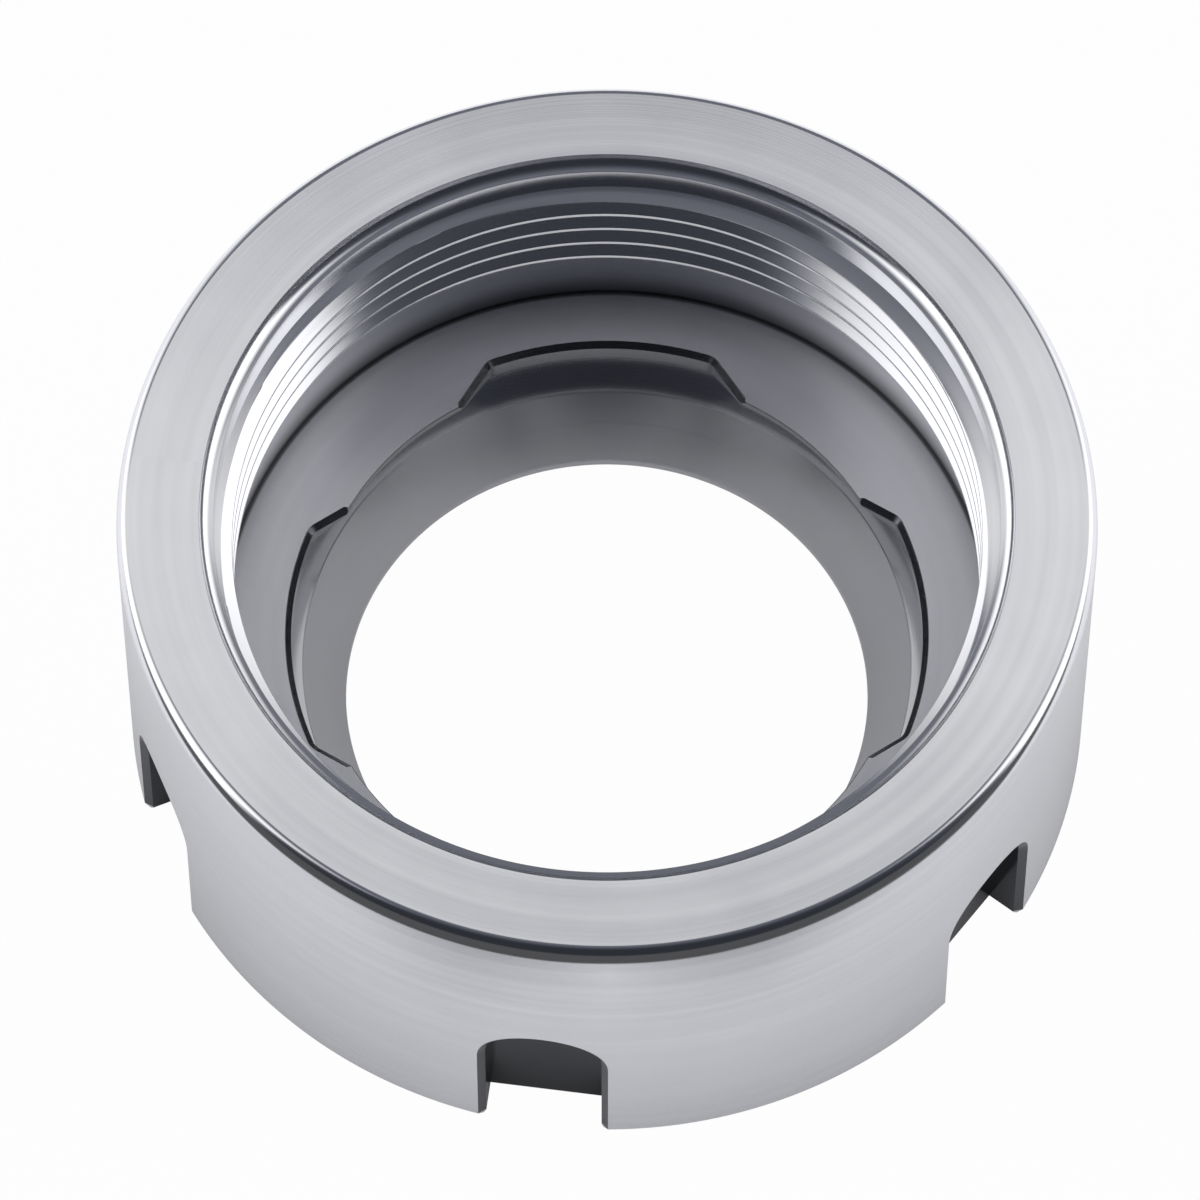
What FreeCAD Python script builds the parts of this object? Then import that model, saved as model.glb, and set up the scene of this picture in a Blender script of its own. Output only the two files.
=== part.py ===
import FreeCAD, Part
import math
import os
import Sketcher

# Collet nut, turned and milled from one piece of steel.
# The Z axis is the axis of rotation. The front face, with the spanner slots, lies on Z = 0.
# The threaded mouth opens upward.

NODE = "collet_nut"

# Driving sizes in millimetres and degrees.
# Widths are radial steps out from or in from the thread.
# Depths, lengths and lands are steps along the axis, from the mouth down to the front face.
SIZES = {
    "thread_diameter": 40.0,
    "thread_pitch": 1.5,
    "wall": 5.0,
    "rear_edge_radius": 0.75,
    "front_edge_break": 0.5,
    "bore_edge_break": 0.45,
    "mouth_width": 0.72,
    "mouth_depth": 0.57,
    "pilot_clearance": 0.05,
    "pilot_length": 1.53,
    "lead_in_angle": 10.0,
    "thread_length": 6.25,
    "runout_angle": 30.0,
    "relief_clearance": 0.07,
    "relief_length": 4.64,
    "shelf_width": 4.77,
    "lip_land": 0.45,
    "lip_reach": 1.7,
    "lip_flank_angle": 30.0,
    "groove_length": 1.89,
    "groove_floor_width": 1.1,
    "seat_width": 2.18,
    "seat_angle": 30.0,
    "front_land": 0.85,
    "slot_count": 6,
    "slot_width": 6.0,
    "slot_height": 10.75,
    "slot_depth": 2.13,
    "slot_edge_break": 0.38,
    "lobe_opening": 14.6,
    "lobe_flank_angle": 32.0,
    "lobe_corner_radius": 0.8,
    "lobe_edge_break": 0.3,
    "wide_lobe_inset": 0.15,
    "narrow_lobe_inset": 0.57,
    "lobe_turn": 8.75,
}

# A metric thread's minor diameter is its major diameter less this many pitches
MINOR_PITCHES = 1.082532
# Each lobe has a twin across the axis
TWIN_COUNT = 2
QUARTER_TURN_ANGLE = 90
# Lengths nearer than this are the same
TOLERANCE = 1e-4

# Radii, from the outside inward
OUTER = "(Sizes.thread_diameter / 2 + Sizes.wall)"
PILOT = "(Sizes.thread_diameter / 2 + Sizes.pilot_clearance)"
MOUTH = f"({PILOT} + Sizes.mouth_width)"
MINOR = f"((Sizes.thread_diameter - {MINOR_PITCHES} * Sizes.thread_pitch) / 2)"
RELIEF = "(Sizes.thread_diameter / 2 + Sizes.relief_clearance)"
LIP = f"({RELIEF} - Sizes.shelf_width)"
GROOVE = f"({LIP} + Sizes.lip_reach)"
SEAT = f"({GROOVE} - Sizes.groove_floor_width)"
BORE = f"({SEAT} - Sizes.seat_width)"
SLOT_BACK = f"({OUTER} - Sizes.slot_depth)"

# Heights above the front face, from the bottom upward
SEAT_FOOT = "Sizes.front_land"
GROOVE_FLOOR = f"({SEAT_FOOT} + Sizes.seat_width / tan(Sizes.seat_angle))"
GROOVE_TOP = f"({GROOVE_FLOOR} + Sizes.groove_length)"
LIP_THICKNESS = "(Sizes.lip_land + Sizes.lip_reach * tan(Sizes.lip_flank_angle))"
LIP_FACE = f"({GROOVE_TOP} + {LIP_THICKNESS})"
RELIEF_TOP = f"({LIP_FACE} + Sizes.relief_length)"
THREAD_FOOT = f"({RELIEF_TOP} + ({RELIEF} - {MINOR}) * tan(Sizes.runout_angle))"
THREAD_TOP = f"({THREAD_FOOT} + Sizes.thread_length)"
PILOT_FOOT = f"({THREAD_TOP} + ({PILOT} - {MINOR}) * tan(Sizes.lead_in_angle))"
PILOT_TOP = f"({PILOT_FOOT} + Sizes.pilot_length)"
HEIGHT = f"({PILOT_TOP} + Sizes.mouth_depth)"

# Half of the turned section as radius and height, counterclockwise from the front bore
SECTION = [
    (BORE, "0"),
    (OUTER, "0"),
    (OUTER, HEIGHT),
    (MOUTH, HEIGHT),
    (PILOT, PILOT_TOP),
    (PILOT, PILOT_FOOT),
    (MINOR, THREAD_TOP),
    (MINOR, THREAD_FOOT),
    (RELIEF, RELIEF_TOP),
    (RELIEF, LIP_FACE),
    (LIP, LIP_FACE),
    (LIP, f"{LIP_FACE} - Sizes.lip_land"),
    (GROOVE, GROOVE_TOP),
    (GROOVE, GROOVE_FLOOR),
    (SEAT, GROOVE_FLOOR),
    (BORE, SEAT_FOOT),
]
# The side of the section that follows this corner is the mouth's hollow round
MOUTH_CORNER_INDEX = 3

# How a sketch names the points of its geometry and its own axes
START_INDEX, END_INDEX, CENTRE_INDEX = 1, 2, 3
ORIGIN = (-1, START_INDEX)
VERTICAL_AXIS_INDEX = -2


def fill_sheet(doc):
    sheet = doc.addObject("Spreadsheet::Sheet", "Sizes")
    for row, (alias, number) in enumerate(SIZES.items(), start=1):
        sheet.set(f"A{row}", alias.replace("_", " "))
        sheet.set(f"B{row}", str(number))
        sheet.setAlias(f"B{row}", alias)
    doc.recompute()


def value(expression):
    return float(FreeCAD.ActiveDocument.Sizes.evalExpression(expression))


def origin_feature(body, role):
    return next(feature for feature in body.Origin.OriginFeatures if feature.Role == role)


def new_sketch(body, name, role):
    sketch = body.newObject("Sketcher::SketchObject", name)
    sketch.AttachmentSupport = (origin_feature(body, role), [""])
    sketch.MapMode = "FlatFace"
    return sketch


def tie(sketch, kind, *references):
    return sketch.addConstraint(Sketcher.Constraint(kind, *references))


def drive(sketch, kind, *references, expression):
    index = tie(sketch, kind, *references, value(expression))
    sketch.setExpression(f"Constraints[{index}]", expression)


def place(sketch, geometry, end, across, up):
    # Drives one point of the geometry by its two distances from the origin
    drive(sketch, "DistanceX", *ORIGIN, geometry, end, expression=across)
    drive(sketch, "DistanceY", *ORIGIN, geometry, end, expression=up)


def join_in_turn(sketch, geometries):
    # Ties each line or arc of a closed outline to the next one
    for geometry, following in zip(geometries, geometries[1:] + geometries[:1]):
        tie(sketch, "Coincident", geometry, END_INDEX, following, START_INDEX)


def flat_circle(centre, radius):
    return Part.Circle(centre, FreeCAD.Vector(0, 0, 1), radius)


def level_arc(upper, lower):
    # A hollow round that leaves the upper corner steeply and runs out level at the lower one
    width = upper.x - lower.x
    depth = upper.y - lower.y
    radius = (width**2 + depth**2) / (2 * depth)
    circle = flat_circle(lower + FreeCAD.Vector(0, radius, 0), radius)
    return Part.ArcOfCircle(circle, -math.pi / 2, math.atan2(depth - radius, width))


def turned_blank(body):
    sketch = new_sketch(body, "Section", "XZ_Plane")
    corners = [FreeCAD.Vector(value(across), value(up), 0) for across, up in SECTION]
    for index, (corner, target) in enumerate(zip(corners, corners[1:] + corners[:1])):
        line = level_arc if index == MOUTH_CORNER_INDEX else Part.LineSegment
        sketch.addGeometry(line(corner, target))

    # The hollow round runs against the order of the corners, so its ends change places
    def near_end(index):
        return END_INDEX if index == MOUTH_CORNER_INDEX else START_INDEX

    def far_end(index):
        return START_INDEX if index == MOUTH_CORNER_INDEX else END_INDEX

    for index, (across, up) in enumerate(SECTION):
        after = (index + 1) % len(SECTION)
        tie(sketch, "Coincident", index, far_end(index), after, near_end(after))
        place(sketch, index, near_end(index), across, up)
    drive(sketch, "DistanceX", *ORIGIN, MOUTH_CORNER_INDEX, CENTRE_INDEX, expression=PILOT)

    blank = body.newObject("PartDesign::Revolution", "Blank")
    blank.Profile = sketch
    blank.ReferenceAxis = (sketch, ["V_Axis"])
    blank.Angle = 360
    body.Document.recompute()


def is_near(first, second):
    return abs(first - second) < TOLERANCE


def middle_of(edge):
    return edge.valueAt((edge.FirstParameter + edge.LastParameter) / 2)


def reach(point):
    # Distance from the axis
    return math.hypot(point.x, point.y)


def ring(radius, height):
    # Picks the circle about the axis that has this radius and height, or what is left of it
    radius = value(radius)
    height = value(height)

    def wanted(edge):
        curve = edge.Curve
        if not isinstance(curve, Part.Circle):
            return False
        return is_near(curve.Radius, radius) and is_near(curve.Center.z, height)

    return wanted


def break_edges(body, kind, name, size, expression, wanted):
    # Rounds or chamfers the wanted edges of the body as it stands
    base = body.Tip
    edges = [f"Edge{n}" for n, edge in enumerate(base.Shape.Edges, start=1) if wanted(edge)]
    feature = body.newObject(kind, name)
    feature.Base = (base, edges)
    feature.setExpression(size, expression)
    body.Document.recompute()


def round_ring(body, name, radius, height, size):
    break_edges(body, "PartDesign::Fillet", name, "Radius", size, ring(radius, height))


def chamfer_ring(body, name, radius, height, size):
    break_edges(body, "PartDesign::Chamfer", name, "Size", size, ring(radius, height))


def cut_round_axis(body, pocket, count):
    # Repeats a pocket round the axis, and makes sure that each copy cuts as much as the first
    doc = body.Document
    doc.recompute()
    whole = pocket.BaseFeature.Shape.Volume
    single = whole - pocket.Shape.Volume
    pattern = body.newObject("PartDesign::PolarPattern", f"{pocket.Name}s")
    pattern.Originals = [pocket]
    pattern.Axis = (origin_feature(body, "Z_Axis"), [""])
    pattern.Angle = 360
    pattern.setExpression("Occurrences", count)
    body.Tip = pattern
    doc.recompute()
    removed = whole - pattern.Shape.Volume
    if single <= 0 or abs(removed - single * pattern.Occurrences) > TOLERANCE * whole:
        raise RuntimeError(f"{pattern.Name} don't cut as they should")


def spanner_slots(body):
    # An end mill run up from the front face leaves parallel sides, a round end and a flat back
    half = "(Sizes.slot_width / 2)"
    centre_height = f"Sizes.slot_height - {half}"
    radius = value(half)
    centre = FreeCAD.Vector(0, value(centre_height), 0)
    side = FreeCAD.Vector(radius, 0, 0)
    below = FreeCAD.Vector(0, -radius, 0)
    sketch = new_sketch(body, "SlotOutline", "XZ_Plane")
    sketch.setExpression("AttachmentOffset.Base.z", SLOT_BACK)
    right, arch, left, foot = (
        sketch.addGeometry(geometry)
        for geometry in (
            Part.LineSegment(below + side, centre + side),
            Part.ArcOfCircle(flat_circle(centre, radius), 0, math.pi),
            Part.LineSegment(centre - side, below - side),
            Part.LineSegment(below - side, below + side),
        )
    )
    tie(sketch, "Tangent", right, END_INDEX, arch, START_INDEX)
    tie(sketch, "Tangent", arch, END_INDEX, left, START_INDEX)
    tie(sketch, "Coincident", left, END_INDEX, foot, START_INDEX)
    tie(sketch, "Coincident", foot, END_INDEX, right, START_INDEX)
    tie(sketch, "Vertical", right)
    tie(sketch, "Horizontal", foot)
    place(sketch, arch, CENTRE_INDEX, "0", centre_height)
    place(sketch, right, START_INDEX, half, f"-{half}")
    drive(sketch, "DistanceX", *ORIGIN, left, END_INDEX, expression=f"-{half}")

    pocket = body.newObject("PartDesign::Pocket", "SpannerSlot")
    pocket.Profile = sketch
    pocket.Type = "ThroughAll"
    pocket.Reversed = True
    cut_round_axis(body, pocket, "Sizes.slot_count")


def slot_rim(body):
    # Picks the edges that the slots leave on the outer wall and the front face
    pitch = 2 * math.pi / body.Tip.Occurrences
    half_width = value("Sizes.slot_width") / 2
    top = value("Sizes.slot_height")
    back = value(SLOT_BACK)
    outer = value(OUTER)

    def in_slot(point):
        # The first slot faces -Y
        turn = math.atan2(point.y, point.x) + math.pi / 2
        from_nearest = (turn + pitch / 2) % pitch - pitch / 2
        across = reach(point) * abs(math.sin(from_nearest))
        beyond_back = reach(point) > back - TOLERANCE
        return across < half_width + TOLERANCE and beyond_back and point.z < top + TOLERANCE

    def wanted(edge):
        ends = [vertex.Point for vertex in edge.Vertexes]
        on_wall = all(is_near(reach(point), outer) for point in ends)
        on_front = all(is_near(point.z, 0) for point in ends)
        return (on_wall or on_front) and in_slot(middle_of(edge))

    return wanted


def lip_lobes(body, name, inset, turn):
    # Two bays through the lip: a round back about the axis, and flanks that open inward
    back = f"({GROOVE} - {inset})"
    depth = f"({back} - {LIP})"
    half_opening = "(Sizes.lobe_opening / 2)"
    # Each flank passes the lip's edge at the opening and starts one bay's depth nearer the axis
    inner_across = f"({half_opening} + {depth} * tan(Sizes.lobe_flank_angle))"
    inner_up = f"(sqrt({LIP} ^ 2 - {half_opening} ^ 2) - {depth})"

    radius = value(back)
    slope = math.radians(value("Sizes.lobe_flank_angle"))
    along = FreeCAD.Vector(-math.sin(slope), math.cos(slope), 0)
    inner = FreeCAD.Vector(value(inner_across), value(inner_up), 0)
    to_foot = -inner.dot(along)
    corner = inner + along * (to_foot + math.sqrt(to_foot**2 + radius**2 - inner.Length**2))
    left_inner = FreeCAD.Vector(-inner.x, inner.y, 0)
    left_corner = FreeCAD.Vector(-corner.x, corner.y, 0)
    angle = math.atan2(corner.y, corner.x)

    sketch = new_sketch(body, f"{name}Outline", "XY_Plane")
    sketch.setExpression("AttachmentOffset.Base.z", LIP_FACE)
    sketch.setExpression("AttachmentOffset.Rotation.Angle", turn)
    right, arc, left, opening = (
        sketch.addGeometry(geometry)
        for geometry in (
            Part.LineSegment(inner, corner),
            Part.ArcOfCircle(flat_circle(FreeCAD.Vector(), radius), angle, math.pi - angle),
            Part.LineSegment(left_corner, left_inner),
            Part.LineSegment(left_inner, inner),
        )
    )
    join_in_turn(sketch, [right, arc, left, opening])
    tie(sketch, "Coincident", arc, CENTRE_INDEX, *ORIGIN)
    drive(sketch, "Radius", arc, expression=back)
    place(sketch, right, START_INDEX, inner_across, inner_up)
    corner_radius = "Sizes.lobe_corner_radius"
    right_fillet = opening + 1
    sketch.fillet(right, arc, corner, corner, value(corner_radius), True, False)
    sketch.fillet(arc, left, left_corner, left_corner, value(corner_radius), True, False)
    drive(sketch, "Radius", right_fillet, expression=corner_radius)
    tie(sketch, "Symmetric", right, START_INDEX, left, END_INDEX, VERTICAL_AXIS_INDEX)
    tie(sketch, "Symmetric", right, END_INDEX, left, START_INDEX, VERTICAL_AXIS_INDEX)
    flank = tie(sketch, "Angle", right, math.pi / 2 + slope)
    sketch.setExpression(
        f"Constraints[{flank}]", f"({QUARTER_TURN_ANGLE} + Sizes.lobe_flank_angle) * 1 deg"
    )

    pocket = body.newObject("PartDesign::Pocket", name)
    pocket.Profile = sketch
    pocket.setExpression("Length", LIP_THICKNESS)
    cut_round_axis(body, pocket, str(TWIN_COUNT))


def lobe_rim():
    # Picks the upper edges of the lobes, and leaves the lip's own inner edge sharp
    face = value(LIP_FACE)
    lip = value(LIP)
    relief = value(RELIEF)

    def wanted(edge):
        box = edge.BoundBox
        level = is_near(box.ZMin, face) and is_near(box.ZMax, face)
        return level and lip + TOLERANCE < reach(middle_of(edge)) < relief - TOLERANCE

    return wanted


def collet_nut(doc):
    body = doc.addObject("PartDesign::Body", "ColletNut")
    body.Label = NODE
    body.Placement = FreeCAD.Placement()
    turned_blank(body)
    round_ring(body, "RearEdge", OUTER, HEIGHT, "Sizes.rear_edge_radius")
    chamfer_ring(body, "BoreEdge", BORE, "0", "Sizes.bore_edge_break")
    lip_lobes(body, "WideLobe", "Sizes.wide_lobe_inset", "Sizes.lobe_turn")
    lip_lobes(
        body, "NarrowLobe", "Sizes.narrow_lobe_inset", f"Sizes.lobe_turn - {QUARTER_TURN_ANGLE}"
    )
    chamfer = "PartDesign::Chamfer"
    break_edges(body, chamfer, "LobeEdges", "Size", "Sizes.lobe_edge_break", lobe_rim())
    spanner_slots(body)
    break_edges(body, chamfer, "SlotEdges", "Size", "Sizes.slot_edge_break", slot_rim(body))
    chamfer_ring(body, "FrontEdge", OUTER, "0", "Sizes.front_edge_break")
    return body


def make_sure(doc, body):
    for item in doc.Objects:
        if "Invalid" in item.State or "Error" in item.State:
            raise RuntimeError(f"{item.Name} is {item.State}")
    shape = body.Shape
    if shape.isNull() or not shape.isValid() or len(shape.Solids) != 1:
        raise RuntimeError(f"{body.Label} isn't one valid solid")


document = FreeCAD.newDocument("ColletNut")
fill_sheet(document)
nut = collet_nut(document)
make_sure(document, nut)
os.makedirs("parts", exist_ok=True)
nut.Shape.exportStep(f"parts/{nut.Label}.step")
print(f"{nut.Label}: {nut.Shape.Volume:.1f} mm3, {nut.Shape.BoundBox}")
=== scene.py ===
import math

import bmesh
import bpy
from mathutils import Matrix, Vector

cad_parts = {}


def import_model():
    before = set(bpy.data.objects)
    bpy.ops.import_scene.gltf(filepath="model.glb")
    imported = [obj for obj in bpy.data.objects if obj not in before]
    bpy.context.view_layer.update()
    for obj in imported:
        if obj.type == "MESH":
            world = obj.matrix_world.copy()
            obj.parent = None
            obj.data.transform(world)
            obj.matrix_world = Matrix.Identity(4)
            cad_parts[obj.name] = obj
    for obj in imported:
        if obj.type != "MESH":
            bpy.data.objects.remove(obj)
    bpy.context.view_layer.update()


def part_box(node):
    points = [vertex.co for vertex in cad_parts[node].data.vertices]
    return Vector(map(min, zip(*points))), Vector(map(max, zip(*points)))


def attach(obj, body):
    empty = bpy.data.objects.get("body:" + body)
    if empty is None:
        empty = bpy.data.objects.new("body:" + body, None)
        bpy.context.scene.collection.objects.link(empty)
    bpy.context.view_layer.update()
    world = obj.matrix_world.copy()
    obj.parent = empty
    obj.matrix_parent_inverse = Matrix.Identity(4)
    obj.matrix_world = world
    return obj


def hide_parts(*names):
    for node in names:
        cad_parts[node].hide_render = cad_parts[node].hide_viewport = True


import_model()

# The nut stands on its front face at the origin, with its threaded mouth up.
# Lengths are metres and angles are radians.
MM = 0.001
NODE = "collet_nut"
_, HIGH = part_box(NODE)
OUTER = HIGH.x
HEIGHT = HIGH.z

# Turned section, from the mouth down
REAR_EDGE_WIDTH = 0.62 * MM
REAR_EDGE_HEIGHT = 0.95 * MM
REAR_EDGE_STEPS = 12
MOUTH_STEPS = 10
MOUTH = 20.77 * MM
MOUTH_DEPTH = 0.57 * MM
PILOT = 20.05 * MM
PILOT_FOOT = HEIGHT - 2.1 * MM
THREAD_TOP = HEIGHT - 2.25 * MM
THREAD_FOOT = HEIGHT - 8.5 * MM
RELIEF = 20.07 * MM
RELIEF_TOP = HEIGHT - 9.01 * MM
LIP_FACE = HEIGHT - 13.65 * MM
LIP = 15.3 * MM
LIP_LAND = 0.45 * MM
LIP_SLOPE = math.tan(math.radians(30))
GROOVE = 17.0 * MM
GROOVE_FLOOR = HEIGHT - 16.97 * MM
SEAT = 15.9 * MM
BORE = 13.72 * MM
SEAT_FOOT = 0.85 * MM
BORE_EDGE = 0.45 * MM
FRONT_EDGE = 0.5 * MM

# Thread
PITCH = 1.5 * MM
MAJOR = 20.0 * MM
# The depth of the metric profile, as a share of the pitch
PROFILE_DEPTH = 1.082532 / 2
MINOR = MAJOR - PROFILE_DEPTH * PITCH
CREST_WIDTH = PITCH / 6
FLANK_SLANT = math.radians(30)
FLANK_HEIGHT = (MAJOR - MINOR) * math.tan(FLANK_SLANT)
SHOULDER_STEPS = 4
RUNOUT_STEPS = 10
# Turns drawn beyond each end, whose points are then laid on that end
SPARE_TURNS = 2
# The height of one crest's upper edge at the angle where it was measured
CREST_EDGE = HEIGHT - 5.0 * MM
CREST_ANGLE = math.radians(97.65)

# Lobes through the lip
LOBE_COUNT = 4
LOBE_TURN = math.radians(8.75)
LOBE_OPENING = 14.6 * MM
LOBE_FLANK = math.radians(32)
LOBE_CORNER = 0.8 * MM
LOBE_BREAK = 0.3 * MM
WIDE_BACK = 16.85 * MM
NARROW_BACK = 16.43 * MM
BACK_STEPS = 20
CORNER_STEPS = 8
FLANK_SHARES = (0.33, 0.66, 1.0)
BETWEEN_STEPS = 34

# Spanner slots
SLOT_COUNT = 6
SLOT_HALF = 3.0 * MM
SLOT_CENTRE = 7.75 * MM
SLOT_BACK = OUTER - 2.13 * MM
SLOT_BREAK = 0.38 * MM
SLOT_SIDE_STEPS = 2
SLOT_CORNER_STEPS = 10
WALL_STEPS = 24
HALF_SECTOR = math.pi / SLOT_COUNT
FIRST_SLOT = math.radians(-90)
# Where on the slot's round end the wall's grid turns its corners
ROUND_LEFT = 0.75 * math.pi
ROUND_RIGHT = 0.25 * math.pi

# Small rounds that a deburred edge keeps
FINE_EDGE = 0.05 * MM

# Points that agree to this many digits of a millimetre are one
POINT_DIGITS = 4
# So are points nearer than this, and edges bent more than this are sharp
JOIN = 0.001 * MM
SHARP_ANGLE = math.radians(32)
# A normal this little off the radial direction is on a turned surface
TURNED_SLANT = 0.03

# Camera, as the photograph was taken, with the lens and the sensor in millimetres
CAMERA_TURN = math.radians(7.65)
CAMERA_ELEVATION = math.radians(63.15)
CAMERA_PLACE = (-0.36 * MM, -251.3 * MM, HEIGHT + 486.4 * MM)
CAMERA_LENS = 322.77
CAMERA_SENSOR = 36
CAMERA_CLIP = (0.01, 20)

# Steel, with marks of the tool's feed and broader bands across them
FEED = 0.085 * MM
BAND = 0.6 * MM
FEED_DRIFT = 0.15
BAND_DRIFT = 0.4
BAND_START = 3.0
MARK_DETAIL = 2.0
CLOUD_SCALE = 160.0
CLOUD_DETAIL = 3.0
BAND_SHARE = 0.6
CLOUD_SHARE = 0.4
TONE_RANGE = (0.3, 0.7)
MARK_DEPTH = 0.01 * MM
MARK_STRENGTH = 0.15
STEEL_DULL = (0.825, 0.83, 0.856, 1)
STEEL_BRIGHT = (0.865, 0.87, 0.896, 1)
ROUGH_LOW = 0.13
ROUGH_HIGH = 0.19
# The lip's upper face is duller by this much
ROUGH_SATIN = 0.26
# Reflections are drawn out across the turning marks
STRETCH = 0.6
STRETCH_ROTATION = 0.25

# Painted shade: a dark colour laid on the lip, the slots' chamfers and backs, the groove and the seat,
# standing for the shade and dark reflections on them, and how much of it each surface gets
PAINTED_SHADE_COLOUR = (0.045, 0.047, 0.054, 1)
LIP_PAINTED_SHADE = 0.82
CHAMFER_PAINTED_SHADE = 0.95
SLOT_PAINTED_SHADE = 1.0
SEAT_PAINTED_SHADE = 0.5
GROOVE_PAINTED_SHADE = 0.3
# Painted shade also darkens the corner behind the lip, between the relief wall and the lip's upper
# face
CORNER_PAINTED_SHADE = 0.85
CORNER_SHADE_RISE = (LIP_FACE + 2.6 * MM, LIP_FACE + 0.2 * MM)
CORNER_SHADE_WALL = (RELIEF - 0.25 * MM, RELIEF - 0.05 * MM)
CORNER_SHADE_LIMIT = (RELIEF + 1.5 * MM, RELIEF + 0.5 * MM)
CORNER_SHADE_FOOT = (LIP_FACE - 0.2 * MM, LIP_FACE - 0.1 * MM)

# Floor
FLOOR_HALF = 3.0
FLOOR_COLOUR = (0.86, 0.86, 0.87, 1)
FLOOR_ROUGH = 0.9
FLOOR_WHITE = 0.98
# In the metal the floor shows bright near the nut, with the nut's own shade on it
FLOOR_SHINE = 1.5
FLOOR_GLOW = 1.15
FLOOR_SHADE_REACH = 30 * MM
FLOOR_SHADE_POWER = 1.6
FLOOR_SHADE_SAMPLES = 2
GLOW_TINT = (0.96, 0.965, 1.0, 1)
# Towards the camera it fades in two steps, which come sooner to the left and right
FLOOR_FADE = (-5 * MM, 20 * MM)
FLOOR_NEAR = 0.82
FLOOR_POOL = (34 * MM, 42 * MM)
FLOOR_FAR = 0.08
FLOOR_SPLAY = 0.4
# Inside the bore it is brighter
BORE_POOL = (13 * MM, 16 * MM)
BORE_GLOW = 1.3
WHITE = (1.0, 1.0, 1.0, 1)

# Studio light, placed by how far a direction points ahead of the camera or to its side:
# a strip of light over the far side, a broad light on each side, and shade behind the camera
STRIP_LIGHT = 0.8
STRIP_NEAR = (0.24, 0.46)
STRIP_FAR = (0.55, 0.48)
FAR_LIGHT = 0.14
FAR_START = (-0.7, 0.3)
SIDE_LIGHT = 1.35
SIDE_START = (0.24, 0.84)
LEFT_END = (-0.45, -0.25)
RIGHT_END = (-0.28, -0.1)
AMBIENT = 0.04
LIGHT_TINT = (0.985, 0.985, 1.0, 1)
SHADE_TINT = (0.72, 0.78, 1.0, 1)
# The light at which the tint is no longer that of shade
TINT_FULL = 0.5


class Skin:
    """Collects the points and faces of one mesh, and joins points that coincide."""

    def __init__(self):
        self.points = []
        self.faces = []
        self.index = {}
        # The painted shade and the satin finish of the next faces, and of those made
        self.painted_shade = 0.0
        self.satin = 0.0
        self.painted_shade_faces = []
        self.satin_faces = []

    def point(self, place):
        key = tuple(round(part / MM, POINT_DIGITS) for part in place)
        if key not in self.index:
            self.index[key] = len(self.points)
            self.points.append(tuple(place))
        return self.index[key]

    def face(self, places):
        corners = []
        for place in places:
            corner = self.point(place)
            if corner not in corners:
                corners.append(corner)
        if len(corners) > 2:
            self.faces.append(corners)
            self.painted_shade_faces.append(self.painted_shade)
            self.satin_faces.append(self.satin)

    def grid(self, rows, closed=False):
        """Quads between rows of points. Closed rows come back to their first point."""
        for upper, lower in zip(rows, rows[1:]):
            pairs = list(zip(upper, lower))
            if closed:
                pairs.append(pairs[0])
            for (a, b), (d, c) in zip(pairs, pairs[1:]):
                self.face([a, b, c, d])

    def between(self, outer, inner):
        """Triangles across a flat ring, from its outer circle of points to its inner one."""
        sides = []
        for circle in (outer, inner):
            turns = [math.atan2(y, x) % math.tau for x, y, _ in circle] + [math.tau]
            sides.append((circle + circle[:1], turns))
        (outer, outer_turns), (inner, inner_turns) = sides
        at, beside = 0, 0
        while at < len(outer) - 1 or beside < len(inner) - 1:
            inner_done = beside == len(inner) - 1
            inner_turn = inner_turns[min(beside + 1, len(inner) - 1)]
            outer_next = at < len(outer) - 1 and outer_turns[at + 1] <= inner_turn
            if inner_done or outer_next:
                self.face([outer[at], outer[at + 1], inner[beside]])
                at += 1
            else:
                self.face([outer[at], inner[beside + 1], inner[beside]])
                beside += 1


def polar(radius, angle, height):
    return (radius * math.cos(angle), radius * math.sin(angle), height)


def lerp(a, b, share):
    return a + (b - a) * share


def spread(first, last, steps):
    return [lerp(first, last, step / steps) for step in range(steps + 1)]


def arc(centre, radius, first, last, steps):
    """Points of a round in the section plane, as radius and height."""
    return [
        (centre[0] + radius * math.cos(angle), centre[1] + radius * math.sin(angle))
        for angle in spread(first, last, steps)
    ]


def eased(before, corner, after, size=FINE_EDGE):
    """Three points that take a sharp corner off, as deburring does."""
    before, corner, after = Vector(before), Vector(corner), Vector(after)
    first = corner + (before - corner).normalized() * size
    last = corner + (after - corner).normalized() * size
    middle = first.lerp(last, 0.5).lerp(corner, 0.5)
    return [tuple(first), tuple(middle), tuple(last)]


class Column:
    """One upright section through the lip: a point of its rim seen from above."""

    def __init__(self, x, y, normal, lobe):
        self.x = x
        self.y = y
        self.normal = normal
        self.lobe = lobe
        self.angle = math.atan2(y, x) % math.tau


def lobe_columns(back):
    """The rim of one lobe about +Y, clockwise from its left opening to its right one."""
    half = LOBE_OPENING / 2
    opening = Vector((half, math.sqrt(LIP**2 - half**2)))
    along = Vector((-math.sin(LOBE_FLANK), math.cos(LOBE_FLANK)))
    across = Vector((math.cos(LOBE_FLANK), math.sin(LOBE_FLANK)))
    offset = opening.dot(across) - LOBE_CORNER
    centre = across * offset + along * math.sqrt((back - LOBE_CORNER) ** 2 - offset**2)
    side = math.atan2(centre.y, centre.x)
    right = []
    for angle in spread(math.pi / 2, side, BACK_STEPS)[:-1]:
        right.append((back * math.cos(angle), back * math.sin(angle), angle))
    for angle in spread(side, LOBE_FLANK, CORNER_STEPS):
        x = centre.x + LOBE_CORNER * math.cos(angle)
        y = centre.y + LOBE_CORNER * math.sin(angle)
        right.append((x, y, angle))
    foot = centre + across * LOBE_CORNER
    for share in FLANK_SHARES:
        place = foot.lerp(opening, share)
        right.append((place.x, place.y, LOBE_FLANK))
    left = [(-x, y, math.pi - angle) for x, y, angle in reversed(right[1:])]
    return left + right


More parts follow.
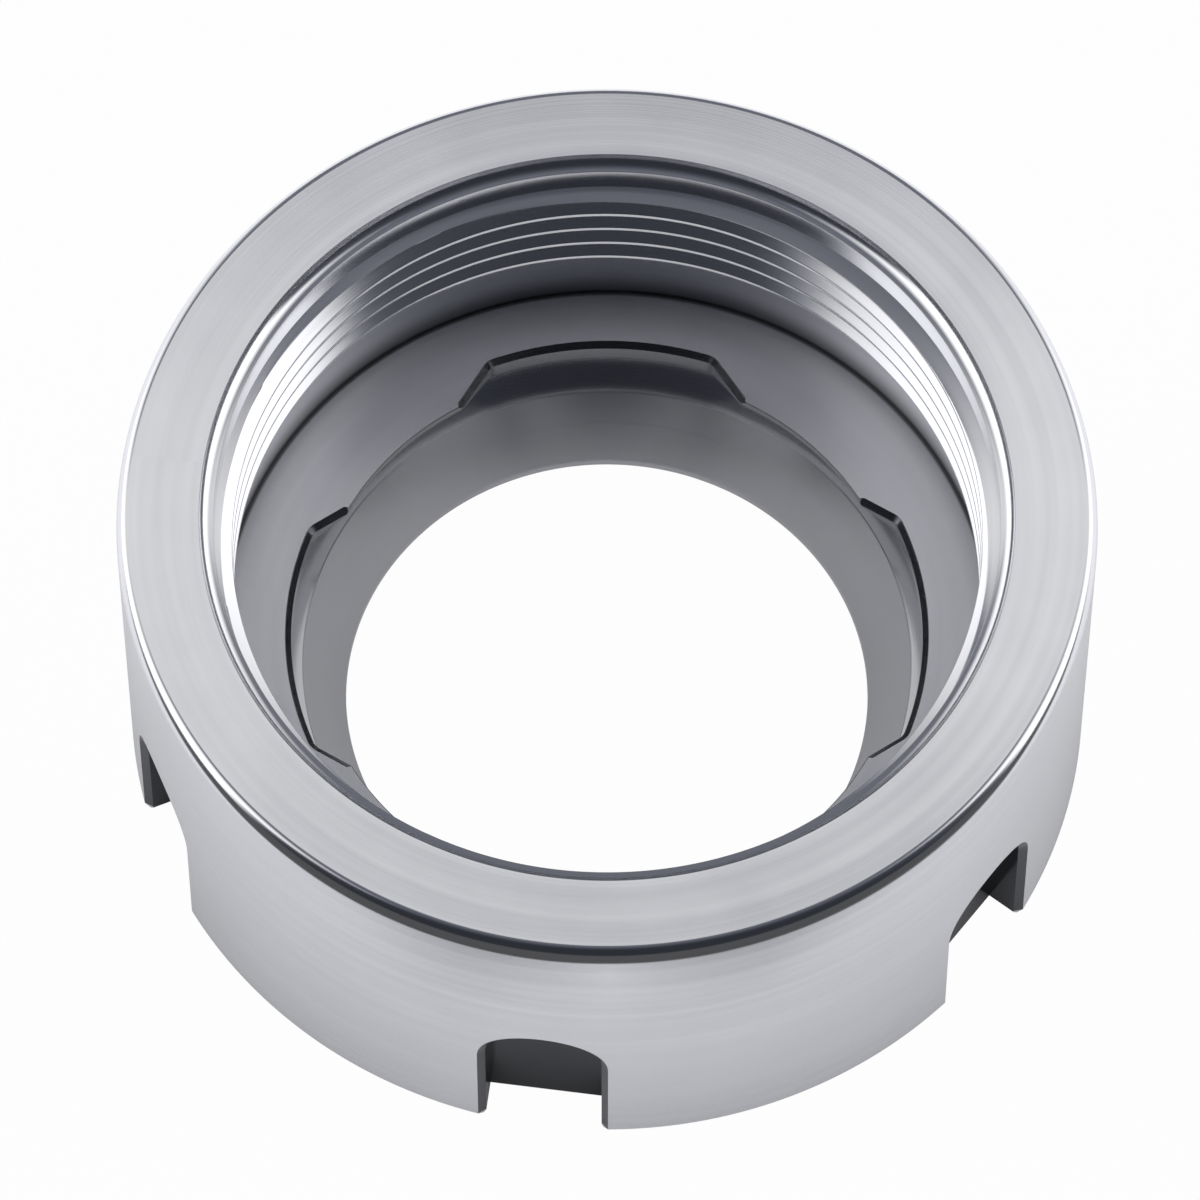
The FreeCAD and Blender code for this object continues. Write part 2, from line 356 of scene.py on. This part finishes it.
def lip_rim():
    """All columns round the lip, counterclockwise by angle."""
    columns = []
    quarter = math.tau / LOBE_COUNT
    for number in range(LOBE_COUNT):
        back = NARROW_BACK if number % 2 == 0 else WIDE_BACK
        # The outline stands about +Y, and the lobes about +X turned
        turn = LOBE_TURN + (number - 1) * quarter
        for x, y, normal in lobe_columns(back):
            place = Matrix.Rotation(turn, 2) @ Vector((x, y))
            columns.append(Column(place.x, place.y, normal + turn, True))
        edge = math.asin(LOBE_OPENING / 2 / LIP)
        middle = turn + quarter
        for angle in spread(middle + edge, middle + quarter - edge, BETWEEN_STEPS)[1:-1]:
            x, y, _ = polar(LIP, angle, 0)
            columns.append(Column(x, y, angle, False))
    return sorted(columns, key=lambda column: column.angle)


RIM = lip_rim()
ANGLES = [column.angle for column in RIM]


def ring(radius, height):
    return [polar(radius, angle, height) for angle in ANGLES]


def rings(profile):
    return [ring(radius, height) for radius, height in profile]


def mouth_profile():
    """From the rear face into the mouth: a hollow round that runs out level at the pilot bore."""
    width = MOUTH - PILOT
    radius = (width**2 + MOUTH_DEPTH**2) / (2 * MOUTH_DEPTH)
    foot = HEIGHT - MOUTH_DEPTH
    last = math.atan2(MOUTH_DEPTH - radius, width)
    hollow = arc((PILOT, foot + radius), radius, last, -math.pi / 2, MOUTH_STEPS)
    edge = eased((MOUTH + width, HEIGHT), hollow[0], hollow[1])
    step = eased(hollow[-2], hollow[-1], (PILOT, PILOT_FOOT))
    return edge + hollow[1:-1] + step + [(PILOT, PILOT_FOOT)]


def rear_profile():
    """Over the rounded rear edge, from the outer wall to the rear face."""
    profile = []
    for angle in spread(0, math.pi / 2, REAR_EDGE_STEPS):
        radius = OUTER - REAR_EDGE_WIDTH * (1 - math.cos(angle))
        profile.append((radius, HEIGHT - REAR_EDGE_HEIGHT * (1 - math.sin(angle))))
    return profile


def thread_keys():
    """One pitch of the thread as height above a crest's upper edge and radius, upward."""
    low = (-CREST_WIDTH, MINOR)
    high = (0.0, MINOR)
    root_low = (FLANK_HEIGHT, MAJOR)
    root_high = (PITCH - CREST_WIDTH - FLANK_HEIGHT, MAJOR)
    below = (root_high[0] - PITCH, MAJOR)
    return eased(below, low, high) + eased(low, high, root_low) + [root_low, root_high]


KEYS = thread_keys()


def crest_edge(angle):
    return CREST_EDGE + PITCH * (angle - CREST_ANGLE) / math.tau


def thread_radius(angle, height):
    """The thread's wall at a place, between its key points."""
    start = KEYS[0][0]
    phase = (height - crest_edge(angle) - start) % PITCH + start
    keys = KEYS + [(KEYS[0][0] + PITCH, KEYS[0][1])]
    for (low, low_radius), (high, high_radius) in zip(keys, keys[1:]):
        if low <= phase <= high:
            return lerp(low_radius, high_radius, (phase - low) / (high - low))
    return MINOR


def thread_column(angle):
    """Points of the thread at one angle, upward. Those past its ends lie on the ends."""
    places = []
    turns_below = math.ceil((CREST_EDGE - THREAD_FOOT) / PITCH) + SPARE_TURNS
    turns_above = math.ceil((THREAD_TOP - CREST_EDGE) / PITCH) + SPARE_TURNS
    for turn in range(-turns_below, turns_above):
        for offset, radius in KEYS:
            height = crest_edge(angle) + turn * PITCH + offset
            if height < THREAD_FOOT or height > THREAD_TOP:
                height = min(max(height, THREAD_FOOT), THREAD_TOP)
                radius = thread_radius(angle, height)
            places.append(polar(radius, angle, height))
    return places


def cone_rows(first, last, steps):
    """Rows where the thread's groove runs out into a cone, from one radius and height to another."""
    rows = []
    for share in spread(0, 1, steps):
        height = lerp(first[1], last[1], share)
        cone = lerp(first[0], last[0], share)
        rows.append(
            [polar(max(cone, thread_radius(angle, height)), angle, height) for angle in ANGLES]
        )
    return rows


def cut_thread(skin):
    """The thread's rows climb one pitch in a turn, so they join themselves one pitch higher."""
    columns = [thread_column(angle) for angle in ANGLES]
    step = len(KEYS)
    first = columns[0]
    wrapped = [first[min(row + step, len(first) - 1)] for row in range(len(first))]
    columns.append(wrapped)
    skin.grid(columns)


def under_lip(radius):
    """The height of the lip's sloping underside."""
    return LIP_FACE - LIP_LAND - (radius - LIP) * LIP_SLOPE


def lip_section(column):
    """Points down the rim at one column, from the lip's upper face to the groove's top."""
    reach = math.hypot(column.x, column.y)
    size = LOBE_BREAK if column.lobe else FINE_EDGE
    face = (2 * size, LIP_FACE)
    upper = (size, LIP_FACE)
    lower = (0.0, LIP_FACE - size)
    foot = (0.0, under_lip(reach))
    below = (GROOVE - reach, under_lip(GROOVE))
    if column.lobe:
        upper_edge = eased(face, upper, lower, FINE_EDGE / 2)
        lower_edge = eased(upper, lower, foot, FINE_EDGE / 2)
    else:
        bend = eased(face, (0.0, LIP_FACE), foot, FINE_EDGE)
        upper_edge = [bend[0], tuple(Vector(bend[0]).lerp(Vector(bend[1]), 0.5)), bend[1]]
        lower_edge = [bend[1], tuple(Vector(bend[1]).lerp(Vector(bend[2]), 0.5)), bend[2]]
    foot_edge = eased(lower, foot, below, FINE_EDGE)
    return upper_edge, lower_edge, foot_edge


def lip_rows():
    """Rows round the lip's rim, three for each of its three edges."""
    sections = [lip_section(column) for column in RIM]
    rows = []
    for part in range(3):
        for item in range(3):
            row = []
            for column, section in zip(RIM, sections):
                offset, height = section[part][item]
                x = column.x + offset * math.cos(column.normal)
                y = column.y + offset * math.sin(column.normal)
                row.append((x, y, height))
            rows.append(row)
    return rows


def seat_profile():
    """From the groove's top down through the collet's seat and the front bore to the front face."""
    edge = eased((GROOVE, GROOVE_FLOOR), (SEAT, GROOVE_FLOOR), (BORE, SEAT_FOOT))
    foot = eased((SEAT, GROOVE_FLOOR), (BORE, SEAT_FOOT), (BORE, 0))
    bevel = [(BORE, BORE_EDGE), (BORE + BORE_EDGE, 0)]
    return [(GROOVE, under_lip(GROOVE)), (GROOVE, GROOVE_FLOOR)] + edge + foot + bevel


def slot_place(sector, lateral, radial, height):
    """A point given across and along a slot's own axis."""
    cos, sin = math.cos(sector), math.sin(sector)
    return (radial * cos - lateral * sin, radial * sin + lateral * cos, height)


def wall_depth(radius, lateral):
    return math.sqrt(radius**2 - lateral**2)


def slot_columns():
    """Up the left side, over the round end and down the right side. Each column holds a direction
    on the slot's rim, the height it starts from, and the angle and height of the wall's far edge."""
    top = HEIGHT - REAR_EDGE_HEIGHT
    left = [
        (-1.0, 0.0, height, -HALF_SECTOR, height)
        for height in spread(FRONT_EDGE, SLOT_CENTRE, SLOT_SIDE_STEPS)
    ]
    for share in spread(0, 1, SLOT_CORNER_STEPS)[1:]:
        turn = lerp(math.pi, ROUND_LEFT, share)
        edge = lerp(SLOT_CENTRE, top, share)
        left.append((math.cos(turn), math.sin(turn), SLOT_CENTRE, -HALF_SECTOR, edge))
    middle = []
    degrees = round(math.degrees(2 * HALF_SECTOR))
    for share in spread(0, 1, degrees)[1:-1]:
        turn = lerp(ROUND_LEFT, ROUND_RIGHT, share)
        edge = lerp(-HALF_SECTOR, HALF_SECTOR, share)
        middle.append((math.cos(turn), math.sin(turn), SLOT_CENTRE, edge, top))
    right = [(-c, s, h, -angle, edge) for c, s, h, angle, edge in reversed(left)]
    return left + middle + right


def slot_rails(column, sector):
    """The outer and inner edges of the slot's chamfer, and the slot's back, at one column."""
    cos, sin, base, _, _ = column
    wide = SLOT_HALF + SLOT_BREAK
    outer = (wide * cos, base + wide * sin)
    inner = (SLOT_HALF * cos, base + SLOT_HALF * sin)
    return (
        outer,
        slot_place(sector, inner[0], wall_depth(OUTER, inner[0]) - SLOT_BREAK, inner[1]),
        slot_place(sector, inner[0], SLOT_BACK, inner[1]),
    )


def wall_steps():
    """Shares across the wall from a slot's edge to halfway to the next slot."""
    return spread(0, 1, WALL_STEPS)


def outer_wall(skin, sector):
    columns = slot_columns()
    rows = []
    for column in columns:
        (across, height), _, _ = slot_rails(column, sector)
        start = math.asin(across / OUTER)
        _, _, _, edge_angle, edge_height = column
        rows.append(
            [
                polar(OUTER, sector + lerp(start, edge_angle, share), lerp(height, edge_height, share))
                for share in wall_steps()
            ]
        )
    skin.grid(rows)
    inner = [slot_rails(column, sector)[1] for column in columns]
    back = [slot_rails(column, sector)[2] for column in columns]
    outer = [row[0] for row in rows]
    # Painted shade on the slot's chamfers and back, standing for the shade and dark reflections there
    skin.painted_shade = CHAMFER_PAINTED_SHADE
    skin.grid([outer, inner])
    skin.painted_shade = SLOT_PAINTED_SHADE
    straight = sum(1 for column in columns if column[1] == 0.0) // 2
    arch = slice(straight - 1, len(columns) - straight + 1)
    skin.grid([inner[arch], back[arch]])
    foot = slot_place(sector, -SLOT_HALF, SLOT_BACK, SLOT_BREAK)
    other = slot_place(sector, SLOT_HALF, SLOT_BACK, SLOT_BREAK)
    skin.face([foot] + back + [other])
    skin.painted_shade = 0.0
    for side in (-1, 1):
        slot_side(skin, sector, side, inner, back, straight)


def slot_side(skin, sector, side, inner, back, straight):
    """One straight side of a slot, with its chamfers on the wall and on the front face."""
    wide = SLOT_HALF + SLOT_BREAK
    foot = OUTER - FRONT_EDGE
    rows = []
    for radius, height in ((OUTER, FRONT_EDGE), (foot, 0)):
        start = math.asin(wide / radius)
        rows.append(
            [
                polar(radius, sector + side * lerp(start, HALF_SECTOR, share), height)
                for share in wall_steps()
            ]
        )
    if side > 0:
        inner = inner[::-1]
        back = back[::-1]
    depth = wall_depth(OUTER, SLOT_HALF) - SLOT_BREAK
    corner = slot_place(sector, side * SLOT_HALF, depth, SLOT_BREAK)
    outer_corner = slot_place(sector, side * wide, wall_depth(OUTER, wide), 0)
    reach = math.hypot(SLOT_HALF, depth)
    # Where the wall's bevel meets the mitre of the slot's two chamfers
    share = (SLOT_BREAK - reach + foot) / (SLOT_BREAK + OUTER - reach)
    mitre = tuple(Vector(corner).lerp(Vector(outer_corner), share))
    skin.grid([rows[0][1:], rows[1][1:]])
    skin.face([rows[0][0], rows[0][1], rows[1][1], rows[1][0], mitre])
    skin.face([rows[0][0], mitre, corner, inner[0]])
    front_corner = slot_place(sector, side * wide, SLOT_BACK - SLOT_BREAK, 0)
    back_corner = slot_place(sector, side * SLOT_HALF, SLOT_BACK, SLOT_BREAK)
    skin.face([corner, mitre, rows[1][0], front_corner, back_corner])
    # Painted shade on the slot's straight side
    skin.painted_shade = SLOT_PAINTED_SHADE
    skin.face([back_corner, corner] + inner[:straight] + back[:straight][::-1])
    skin.painted_shade = 0.0


def slot_foot(sector):
    """The slot's rim on the front face, counterclockwise, between the wall's foot on each side."""
    wide = SLOT_HALF + SLOT_BREAK
    radius = OUTER - FRONT_EDGE
    start = math.asin(wide / radius)
    back = SLOT_BACK - SLOT_BREAK
    left = [polar(radius, sector - lerp(HALF_SECTOR, start, share), 0) for share in wall_steps()]
    right = [polar(radius, sector + lerp(start, HALF_SECTOR, share), 0) for share in wall_steps()]
    corners = [slot_place(sector, -wide, back, 0), slot_place(sector, wide, back, 0)]
    return left + corners + right


def front_face(skin, sector, bore):
    """The front face round one slot, from halfway to the slot before to halfway to the next."""
    first = nearest_column(sector - HALF_SECTOR)
    last = nearest_column(sector + HALF_SECTOR)
    if last < first:
        last += len(bore)
    edge = [bore[number % len(bore)] for number in range(first, last + 1)]
    skin.face(slot_foot(sector) + edge[::-1])


def nearest_column(angle):
    turns = [abs(math.remainder(column - angle, math.tau)) for column in ANGLES]
    return turns.index(min(turns))


def slot_bottom_edge(skin, sector):
    """The chamfer between the slot's back and the front face."""
    wide = SLOT_HALF + SLOT_BREAK
    skin.face(
        [
            slot_place(sector, -wide, SLOT_BACK - SLOT_BREAK, 0),
            slot_place(sector, wide, SLOT_BACK - SLOT_BREAK, 0),
            slot_place(sector, SLOT_HALF, SLOT_BACK, SLOT_BREAK),
            slot_place(sector, -SLOT_HALF, SLOT_BACK, SLOT_BREAK),
        ]
    )


def threaded_bore(skin):
    """The mouth, the thread with a cone at each end, and the relief down to the lip."""
    skin.grid(rings(mouth_profile()), closed=True)
    skin.grid(cone_rows((PILOT, PILOT_FOOT), (MINOR, THREAD_TOP), SHOULDER_STEPS), closed=True)
    cut_thread(skin)
    skin.grid(cone_rows((MINOR, THREAD_FOOT), (RELIEF, RELIEF_TOP), RUNOUT_STEPS), closed=True)
    skin.grid([ring(RELIEF, RELIEF_TOP), ring(RELIEF, LIP_FACE)], closed=True)


def lip_and_seat(skin):
    """The lip, the groove below it, the collet's seat and the front bore."""
    lip = lip_rows()
    seat = seat_profile()
    skin.satin = 1.0
    skin.grid([ring(RELIEF, LIP_FACE), lip[0]], closed=True)
    skin.satin = 0.0
    # Painted shade on the lip's rim, in the groove below it and on the seat
    skin.painted_shade = LIP_PAINTED_SHADE
    skin.grid(lip, closed=True)
    skin.painted_shade = GROOVE_PAINTED_SHADE
    skin.grid([lip[-1]] + rings(seat[:3]), closed=True)
    skin.painted_shade = SEAT_PAINTED_SHADE
    skin.grid(rings(seat[2:]), closed=True)
    skin.painted_shade = 0.0


def slotted_wall(skin):
    """The outer wall and the front face, with the slots through both."""
    bore = ring(*seat_profile()[-1])
    for number in range(SLOT_COUNT):
        sector = FIRST_SLOT + number * math.tau / SLOT_COUNT
        outer_wall(skin, sector)
        slot_bottom_edge(skin, sector)
        front_face(skin, sector, bore)


def rear_face(skin):
    """The rounded rear edge, and the flat face between it and the mouth."""
    degrees = [math.radians(degree) for degree in range(360)]
    rows = [[polar(radius, angle, height) for angle in degrees] for radius, height in rear_profile()]
    skin.grid(rows, closed=True)
    skin.between(rows[-1], ring(*mouth_profile()[0]))


def nut_mesh():
    skin = Skin()
    threaded_bore(skin)
    lip_and_seat(skin)
    slotted_wall(skin)
    rear_face(skin)
    mesh = bpy.data.meshes.new("dressed_collet_nut")
    mesh.from_pydata(skin.points, [], skin.faces)
    for name, shares in (("painted_shade", skin.painted_shade_faces), ("satin", skin.satin_faces)):
        mesh.attributes.new(name, "FLOAT", "FACE").data.foreach_set("value", shares)
    mesh.update()
    return mesh


def fan_of(start, waiting):
    """The corners round one vertex that share a smooth surface with the first one."""
    fan = [start]
    for corner in fan:
        for edge in (corner.edge, corner.link_loop_prev.edge):
            if edge.smooth:
                for beside in edge.link_loops:
                    if beside.vert != start.vert:
                        beside = beside.link_loop_next
                    if beside in waiting:
                        waiting.remove(beside)
                        fan.append(beside)
    return fan


def fan_normal(vert, fan):
    """Leans to the larger faces, and points straight out on what was turned."""
    normal = Vector()
    for corner in fan:
        weight = corner.face.calc_area() / MM**2
        normal += corner.face.normal * weight**2
    normal.normalize()
    outward = Vector((vert.co.x, vert.co.y, 0)).normalized()
    aside = Vector((-outward.y, outward.x, 0))
    slant = normal.dot(aside)
    if abs(slant) < TURNED_SLANT:
        normal -= aside * slant
    return normal.normalized()


def smooth_surface(mesh):
    """Joins what coincides, and sets one normal for each smooth surface at a vertex."""
    work = bmesh.new()
    work.from_mesh(mesh)
    bmesh.ops.remove_doubles(work, verts=work.verts, dist=JOIN)
    bmesh.ops.recalc_face_normals(work, faces=work.faces)
    for face in work.faces:
        face.smooth = True
    for edge in work.edges:
        edge.smooth = edge.calc_face_angle(math.pi) < SHARP_ANGLE
    normals = {}
    for vert in work.verts:
        waiting = list(vert.link_loops)
        while waiting:
            fan = fan_of(waiting.pop(), waiting)
            normal = fan_normal(vert, fan)
            for corner in fan:
                normals[corner] = normal
    ordered = [normals[corner] for face in work.faces for corner in face.loops]
    work.to_mesh(mesh)
    work.free()
    mesh.normals_split_custom_set(ordered)


def nut_object():
    mesh = nut_mesh()
    smooth_surface(mesh)
    nut = bpy.data.objects.new("dressed_collet_nut", mesh)
    bpy.context.collection.objects.link(nut)
    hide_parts(NODE)
    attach(nut, "root")
    return nut


class Nodes:
    """Short ways to add nodes to one material or world."""

    def __init__(self, tree):
        self.tree = tree

    def add(self, kind, **settings):
        node = self.tree.nodes.new(kind)
        for name, setting in settings.items():
            setattr(node, name, setting)
        return node

    def put(self, socket, source):
        if isinstance(source, bpy.types.NodeSocket):
            self.tree.links.new(source, socket)
        else:
            socket.default_value = source

    def math(self, operation, *sources):
        node = self.add("ShaderNodeMath", operation=operation)
        for socket, source in zip(node.inputs, sources):
            self.put(socket, source)
        return node.outputs[0]

    def spread(self, source, low, high, first, last, curve="LINEAR"):
        node = self.add("ShaderNodeMapRange", interpolation_type=curve)
        for socket, given in zip(node.inputs, (source, low, high, first, last)):
            self.put(socket, given)
        return node.outputs[0]

    def soft_step(self, source, low, high):
        return self.spread(source, low, high, 0.0, 1.0, curve="SMOOTHSTEP")

    def lerp(self, first, last, share):
        return self.spread(share, 0.0, 1.0, first, last)

    def noise(self, vector, detail, scale=1.0):
        node = self.add("ShaderNodeTexNoise")
        self.put(node.inputs["Vector"], vector)
        node.inputs["Scale"].default_value = scale
        node.inputs["Detail"].default_value = detail
        return node.outputs[0]

    def times(self, *sources):
        product = sources[0]
        for source in sources[1:]:
            product = self.math("MULTIPLY", product, source)
        return product

    def blend(self, share, first, last):
        node = self.add("ShaderNodeMix", data_type="RGBA")
        for name, source in (("Factor", share), ("A", first), ("B", last)):
            self.put(node.inputs[name], source)
        return node.outputs["Result"]

    def attribute(self, name):
        node = self.add("ShaderNodeAttribute", attribute_type="GEOMETRY", attribute_name=name)
        return node.outputs["Fac"]

    def place(self, kind):
        """A texture coordinate, and its three parts."""
        whole = self.add("ShaderNodeTexCoord").outputs[kind]
        parts = self.add("ShaderNodeSeparateXYZ")
        self.put(parts.inputs[0], whole)
        return whole, parts.outputs

    def from_camera(self, x, y):
        """The parts of a direction or place to the camera's right and ahead of it."""
        cos, sin = math.cos(CAMERA_TURN), math.sin(CAMERA_TURN)
        right = self.math("ADD", self.times(x, cos), self.times(y, sin))
        ahead = self.math("SUBTRACT", self.times(y, cos), self.times(x, sin))
        return right, ahead

    def combine(self, x, y, z):
        node = self.add("ShaderNodeCombineXYZ")
        for socket, source in zip(node.inputs, (x, y, z)):
            self.put(socket, source)
        return node.outputs[0]


def steel_tone(make, place, feed, turn):
    """From 0 to 1, in bands along the tool's path and in clouds."""
    drift = make.times(turn, BAND_DRIFT)
    bands = make.noise(make.combine(make.times(feed, 1 / BAND), drift, BAND_START), MARK_DETAIL)
    cloud = make.noise(place, CLOUD_DETAIL, CLOUD_SCALE)
    both = make.math("ADD", make.times(bands, BAND_SHARE), make.times(cloud, CLOUD_SHARE))
    return make.spread(both, *TONE_RANGE, 0.0, 1.0)


def painted_shade_share(make, radius, z):
    """How much painted shade darkens the steel at a place: on the faces given it, and in the corner
    behind the lip.
    """
    corner = make.times(
        make.soft_step(z, *CORNER_SHADE_RISE),
        make.soft_step(radius, *CORNER_SHADE_WALL),
        make.soft_step(radius, *CORNER_SHADE_LIMIT),
        make.soft_step(z, *CORNER_SHADE_FOOT),
        CORNER_PAINTED_SHADE,
    )
    return make.math("MAXIMUM", make.attribute("painted_shade"), corner)


def steel_material():
    material = bpy.data.materials.new("turned_steel")
    material.use_nodes = True
    make = Nodes(material.node_tree)
    shader = material.node_tree.nodes["Principled BSDF"]
    place, (x, y, z) = make.place("Object")
    radius = make.math("POWER", make.math("ADD", make.times(x, x), make.times(y, y)), 0.5)
    # A tool's feed leaves rings on a turned face and circles on a turned wall
    feed = make.math("ADD", radius, z)
    turn = make.math("ARCTAN2", y, x)
    drift = make.times(turn, FEED_DRIFT)
    marks = make.noise(make.combine(make.times(feed, 1 / FEED), drift, 0.0), MARK_DETAIL)
    tone = steel_tone(make, place, feed, turn)
    unshaded_steel = make.blend(tone, STEEL_DULL, STEEL_BRIGHT)
    # Painted shade: the steel is darkened towards a dark colour where shade falls in recesses and in
    # the corner behind the lip
    colour = make.blend(painted_shade_share(make, radius, z), unshaded_steel, PAINTED_SHADE_COLOUR)
    rough = make.lerp(ROUGH_HIGH, ROUGH_LOW, tone)
    rough = make.math("ADD", rough, make.times(make.attribute("satin"), ROUGH_SATIN))
    tangent = make.add("ShaderNodeTangent", direction_type="RADIAL", axis="Z")
    bump = make.add("ShaderNodeBump")
    bump.inputs["Strength"].default_value = MARK_STRENGTH
    bump.inputs["Distance"].default_value = MARK_DEPTH
    make.put(bump.inputs["Height"], marks)
    make.put(shader.inputs["Base Color"], colour)
    make.put(shader.inputs["Roughness"], rough)
    make.put(shader.inputs["Tangent"], tangent.outputs[0])
    make.put(shader.inputs["Normal"], bump.outputs[0])
    shader.inputs["Metallic"].default_value = 1.0
    shader.inputs["Anisotropic"].default_value = STRETCH
    shader.inputs["Anisotropic Rotation"].default_value = STRETCH_ROTATION
    return material


def camera():
    data = bpy.data.cameras.new("Camera")
    data.lens = CAMERA_LENS
    data.sensor_width = CAMERA_SENSOR
    data.clip_start, data.clip_end = CAMERA_CLIP
    item = bpy.data.objects.new("Camera", data)
    place = Vector(CAMERA_PLACE)
    turn = CAMERA_TURN
    item.location = (
        place.x * math.cos(turn) - place.y * math.sin(turn),
        place.x * math.sin(turn) + place.y * math.cos(turn),
        place.z,
    )
    item.rotation_euler = (math.pi / 2 - CAMERA_ELEVATION, 0, turn)
    bpy.context.collection.objects.link(item)
    bpy.context.scene.camera = item


def floor_glow(make):
    """How bright the floor shows in the metal."""
    shade = make.add("ShaderNodeAmbientOcclusion", samples=FLOOR_SHADE_SAMPLES)
    shade.inputs["Distance"].default_value = FLOOR_SHADE_REACH
    place, (x, y, _) = make.place("Object")
    right, ahead = make.from_camera(x, y)
    splay = make.times(make.math("ABSOLUTE", right), FLOOR_SPLAY)
    nearer = make.math("SUBTRACT", splay, ahead)
    fade = make.lerp(1.0, FLOOR_NEAR, make.soft_step(nearer, *FLOOR_FADE))
    pool = make.lerp(fade, FLOOR_FAR, make.soft_step(nearer, *FLOOR_POOL))
    length = make.add("ShaderNodeVectorMath", operation="LENGTH")
    make.put(length.inputs[0], place)
    bore = make.lerp(BORE_GLOW, 1.0, make.soft_step(length.outputs["Value"], *BORE_POOL))
    shine = make.times(make.math("POWER", shade.outputs["AO"], FLOOR_SHADE_POWER), FLOOR_SHINE)
    shine = make.times(make.math("MINIMUM", shine, FLOOR_GLOW), pool, bore)
    return make.math("MINIMUM", shine, 1.0)


def floor_material():
    """Nearly white to the camera, with some of the nut's shadow left on it."""
    material = bpy.data.materials.new("pale_floor")
    material.use_nodes = True
    make = Nodes(material.node_tree)
    shader = material.node_tree.nodes["Principled BSDF"]
    shader.inputs["Base Color"].default_value = FLOOR_COLOUR
    shader.inputs["Roughness"].default_value = FLOOR_ROUGH
    shader.inputs["Specular IOR Level"].default_value = 0.0
    path = make.add("ShaderNodeLightPath")
    camera_ray = path.outputs["Is Camera Ray"]
    glow = make.add("ShaderNodeEmission")
    make.put(glow.inputs["Strength"], make.lerp(floor_glow(make), 1.0, camera_ray))
    make.put(glow.inputs["Color"], make.blend(camera_ray, GLOW_TINT, WHITE))
    mix = make.add("ShaderNodeMixShader")
    seen = make.times(camera_ray, FLOOR_WHITE)
    make.put(mix.inputs["Fac"], make.math("MAXIMUM", seen, path.outputs["Is Glossy Ray"]))
    make.put(mix.inputs[1], shader.outputs[0])
    make.put(mix.inputs[2], glow.outputs[0])
    make.put(material.node_tree.nodes["Material Output"].inputs["Surface"], mix.outputs[0])
    return material


def floor():
    mesh = bpy.data.meshes.new("floor")
    half = FLOOR_HALF
    corners = [(-half, -half, 0), (half, -half, 0), (half, half, 0), (-half, half, 0)]
    mesh.from_pydata(corners, [], [(0, 1, 2, 3)])
    item = bpy.data.objects.new("floor", mesh)
    bpy.context.collection.objects.link(item)
    item.data.materials.append(floor_material())


def studio_light(make):
    """The light from a direction: the strip, what lies beyond it, and the two sides."""
    _, (x, y, _) = make.place("Generated")
    right, ahead = make.from_camera(x, y)
    near_end = make.soft_step(ahead, *STRIP_NEAR)
    far_end = make.soft_step(ahead, *STRIP_FAR)
    strip = make.times(near_end, far_end, STRIP_LIGHT)
    light = make.math("MAXIMUM", strip, make.times(make.soft_step(ahead, *FAR_START), FAR_LIGHT))
    for aside, reach in ((right, RIGHT_END), (make.times(right, -1.0), LEFT_END)):
        side = make.times(
            make.soft_step(aside, *SIDE_START),
            make.soft_step(ahead, *reach),
            SIDE_LIGHT,
        )
        light = make.math("MAXIMUM", light, side)
    return make.math("ADD", light, AMBIENT)


def world():
    """The studio, white where the camera sees it directly."""
    scene_world = bpy.data.worlds.new("World")
    bpy.context.scene.world = scene_world
    scene_world.use_nodes = True
    make = Nodes(scene_world.node_tree)
    background = scene_world.node_tree.nodes["Background"]
    light = studio_light(make)
    tint = make.blend(make.times(light, 1 / TINT_FULL), SHADE_TINT, LIGHT_TINT)
    camera_ray = make.add("ShaderNodeLightPath").outputs["Is Camera Ray"]
    make.put(background.inputs["Color"], tint)
    make.put(background.inputs["Strength"], make.lerp(light, 1.0, camera_ray))


nut = nut_object()
nut.data.materials.append(steel_material())
camera()
floor()
world()
scene = bpy.context.scene
scene.view_settings.view_transform = "Standard"
